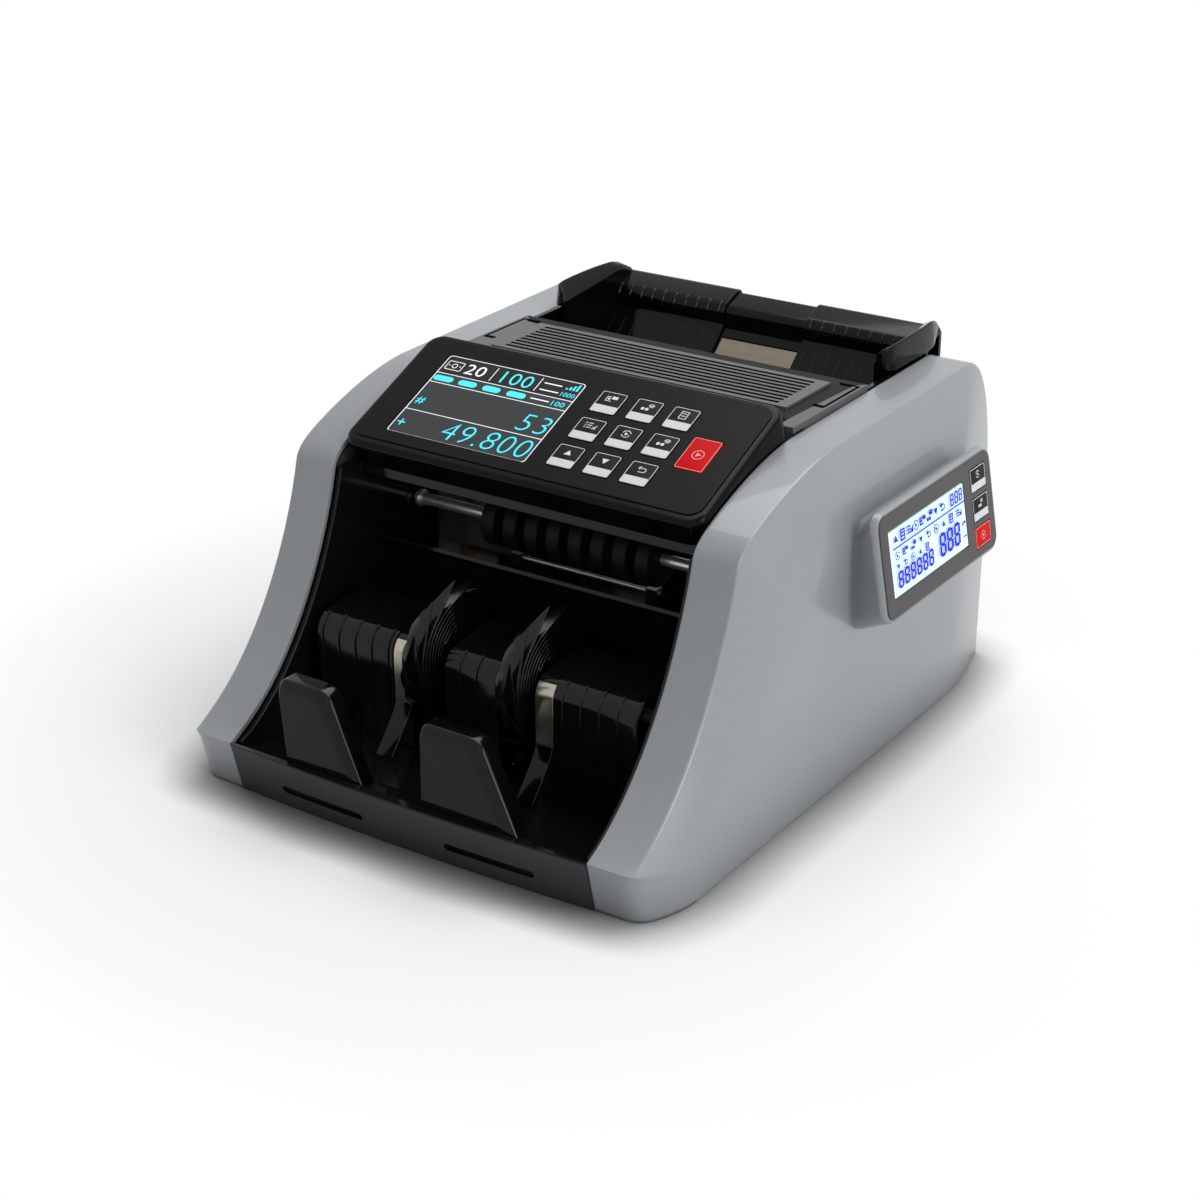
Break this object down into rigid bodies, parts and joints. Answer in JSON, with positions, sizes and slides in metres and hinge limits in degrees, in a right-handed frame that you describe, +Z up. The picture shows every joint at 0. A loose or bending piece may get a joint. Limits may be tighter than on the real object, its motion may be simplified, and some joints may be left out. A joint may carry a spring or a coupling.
{
  "type": "banknote counting machine",
  "caption": "Desktop machine with a rear note hopper, roller feed, spiral stacker wheels over a front delivery pocket, a sloping keypad with a display and a side readout.",
  "frame": {"origin": "on the table plane, in the plane of symmetry of the housing, midway between the front lip and the rear wall", "axes": "+X to the side with the second display, +Y from the delivery pocket to the rear wall, +Z up"},
  "size_m": [0.2923, 0.348, 0.1871],
  "materials": {
    "shell_grey": "satin metallic finish on moulded plastic",
    "black_plastic": "fine satin",
    "gloss_black": "gloss",
    "overlay_film": "semi-gloss film",
    "lid_grey": "satin",
    "rubber": "matt",
    "steel": "ground",
    "zinc_plate": "zinc plated",
    "beige_metal": "satin",
    "brass": "sintered",
    "board": "solder resist",
    "key_grey": "satin",
    "key_red": "satin",
    "screen": "lit liquid crystal"
  },
  "bodies": {
    "machine_body": {"base_tray": "black_plastic", "rubber_feet": "rubber", "left_side_cover": "shell_grey", "right_side_cover": "shell_grey", "rear_cover": "black_plastic", "bay_liner": "black_plastic", "housing_screws": "steel", "left_side_frame": "zinc_plate", "right_side_frame": "zinc_plate", "frame_stays": "steel", "shaft_bushes": "brass", "front_stops": "black_plastic", "stacker_floor": "black_plastic", "stacker_faces": "black_plastic", "wear_strips": "beige_metal", "motor": "zinc_plate", "drive_belt": "rubber", "stacker_belt": "rubber", "feed_belt": "rubber", "outlet_guide": "black_plastic", "guide_rod": "steel", "hopper_tray": "gloss_black", "hopper_plate": "beige_metal", "panel_housing": "gloss_black", "panel_overlay": "overlay_film", "display_module": "gloss_black", "panel_board": "board", "side_display_housing": "shell_grey", "side_display_bezel": "overlay_film", "side_screen": "screen", "inlet_module": "gloss_black", "circuit_boards": "board"},
    "lid": {"top_lid": "lid_grey"},
    "left_guide": {"left_note_guide": "gloss_black"},
    "right_guide": {"right_note_guide": "gloss_black"},
    "drive_train": {"drive_roller": "rubber", "drive_gear": "key_grey"},
    "exit_train": {"exit_shaft": "steel", "exit_rollers": "rubber", "exit_gear": "key_grey"},
    "feed_train": {"feed_roller": "rubber"},
    "pickup_train": {"pickup_roller": "rubber"},
    "stacker_train": {"stacker_shaft": "steel", "left_stacker_wheel": "black_plastic", "right_stacker_wheel": "black_plastic"},
    "motor_rotor": {"motor_pulley": "steel"},
    "rocker": {"power_switch": "gloss_black"},
    "currency_key_body": {"currency_key": "key_grey"},
    "add_key_body": {"add_key": "key_grey"},
    "detail_key_body": {"detail_key": "key_grey"},
    "menu_key_body": {"menu_key": "key_grey"},
    "mode_key_body": {"mode_key": "key_grey"},
    "batch_key_body": {"batch_key": "key_grey"},
    "up_key_body": {"up_key": "key_grey"},
    "down_key_body": {"down_key": "key_grey"},
    "escape_key_body": {"escape_key": "key_grey"},
    "start_key_body": {"start_key": "key_red"},
    "side_mode_key_body": {"side_mode_key": "key_grey"},
    "side_add_key_body": {"side_add_key": "key_grey"},
    "side_start_key_body": {"side_start_key": "key_red"}
  },
  "joints": [
    {"name": "lid_hinge", "type": "hinge", "parent": "machine_body", "child": "lid", "pos_m": [0, 0.00699, 0.17099], "axis": [1, 0, 0], "range_deg": [0, 75]},
    {"name": "left_guide_slide", "type": "slide", "parent": "machine_body", "child": "left_guide", "axis": [1, 0, 0], "range_m": [0, 0.017]},
    {"name": "right_guide_slide", "type": "slide", "parent": "machine_body", "child": "right_guide", "axis": [-1, 0, 0], "range_m": [0, 0.017]},
    {"name": "currency_key_press", "type": "slide", "parent": "machine_body", "child": "currency_key_body", "axis": [0, 0.3955, -0.9184], "range_m": [0, 0.0004], "stiffness_N_per_m": 800, "springref_m": -0.001},
    {"name": "add_key_press", "type": "slide", "parent": "machine_body", "child": "add_key_body", "axis": [0, 0.3955, -0.9184], "range_m": [0, 0.0004], "stiffness_N_per_m": 800, "springref_m": -0.001},
    {"name": "detail_key_press", "type": "slide", "parent": "machine_body", "child": "detail_key_body", "axis": [0, 0.3955, -0.9184], "range_m": [0, 0.0004], "stiffness_N_per_m": 800, "springref_m": -0.001},
    {"name": "menu_key_press", "type": "slide", "parent": "machine_body", "child": "menu_key_body", "axis": [0, 0.3955, -0.9184], "range_m": [0, 0.0004], "stiffness_N_per_m": 800, "springref_m": -0.001},
    {"name": "mode_key_press", "type": "slide", "parent": "machine_body", "child": "mode_key_body", "axis": [0, 0.3955, -0.9184], "range_m": [0, 0.0004], "stiffness_N_per_m": 800, "springref_m": -0.001},
    {"name": "batch_key_press", "type": "slide", "parent": "machine_body", "child": "batch_key_body", "axis": [0, 0.3955, -0.9184], "range_m": [0, 0.0004], "stiffness_N_per_m": 800, "springref_m": -0.001},
    {"name": "up_key_press", "type": "slide", "parent": "machine_body", "child": "up_key_body", "axis": [0, 0.3955, -0.9184], "range_m": [0, 0.0004], "stiffness_N_per_m": 800, "springref_m": -0.001},
    {"name": "down_key_press", "type": "slide", "parent": "machine_body", "child": "down_key_body", "axis": [0, 0.3955, -0.9184], "range_m": [0, 0.0004], "stiffness_N_per_m": 800, "springref_m": -0.001},
    {"name": "escape_key_press", "type": "slide", "parent": "machine_body", "child": "escape_key_body", "axis": [0, 0.3955, -0.9184], "range_m": [0, 0.0004], "stiffness_N_per_m": 800, "springref_m": -0.001},
    {"name": "start_key_press", "type": "slide", "parent": "machine_body", "child": "start_key_body", "axis": [0, 0.3955, -0.9184], "range_m": [0, 0.0004], "stiffness_N_per_m": 800, "springref_m": -0.001},
    {"name": "side_mode_key_press", "type": "slide", "parent": "machine_body", "child": "side_mode_key_body", "axis": [-0.9848, 0, -0.1736], "range_m": [0, 0.0004], "stiffness_N_per_m": 800, "springref_m": -0.001},
    {"name": "side_add_key_press", "type": "slide", "parent": "machine_body", "child": "side_add_key_body", "axis": [-0.9848, 0, -0.1736], "range_m": [0, 0.0004], "stiffness_N_per_m": 800, "springref_m": -0.001},
    {"name": "side_start_key_press", "type": "slide", "parent": "machine_body", "child": "side_start_key_body", "axis": [-0.9848, 0, -0.1736], "range_m": [0, 0.0004], "stiffness_N_per_m": 800, "springref_m": -0.001},
    {"name": "drive_spin", "type": "hinge", "parent": "machine_body", "child": "drive_train", "pos_m": [0, 0.02929, 0.09191], "axis": [1, 0, 0], "continuous": true},
    {"name": "exit_spin", "type": "hinge", "parent": "machine_body", "child": "exit_train", "pos_m": [0, -0.0248, 0.1064], "axis": [1, 0, 0], "continuous": true},
    {"name": "feed_spin", "type": "hinge", "parent": "machine_body", "child": "feed_train", "pos_m": [0, 0.08729, 0.092], "axis": [1, 0, 0], "continuous": true},
    {"name": "pickup_spin", "type": "hinge", "parent": "machine_body", "child": "pickup_train", "pos_m": [0, 0.12719, 0.12591], "axis": [1, 0, 0], "continuous": true},
    {"name": "stacker_spin", "type": "hinge", "parent": "machine_body", "child": "stacker_train", "pos_m": [0, -0.093, 0.062], "axis": [1, 0, 0], "continuous": true},
    {"name": "motor_spin", "type": "hinge", "parent": "machine_body", "child": "motor_rotor", "pos_m": [0, 0.03529, 0.0347], "axis": [1, 0, 0], "continuous": true},
    {"name": "rocker_throw", "type": "hinge", "parent": "machine_body", "child": "rocker", "pos_m": [-0.0695, 0.168, 0.056], "axis": [1, 0, 0], "range_deg": [0, 16]}
  ],
  "couplings": [
    {"joint": "exit_spin", "follows": "drive_spin", "ratio": -1},
    {"joint": "feed_spin", "follows": "drive_spin", "ratio": 1},
    {"joint": "pickup_spin", "follows": "drive_spin", "ratio": 1},
    {"joint": "stacker_spin", "follows": "drive_spin", "ratio": 0.57143},
    {"joint": "motor_spin", "follows": "drive_spin", "ratio": 1.6}
  ]
}
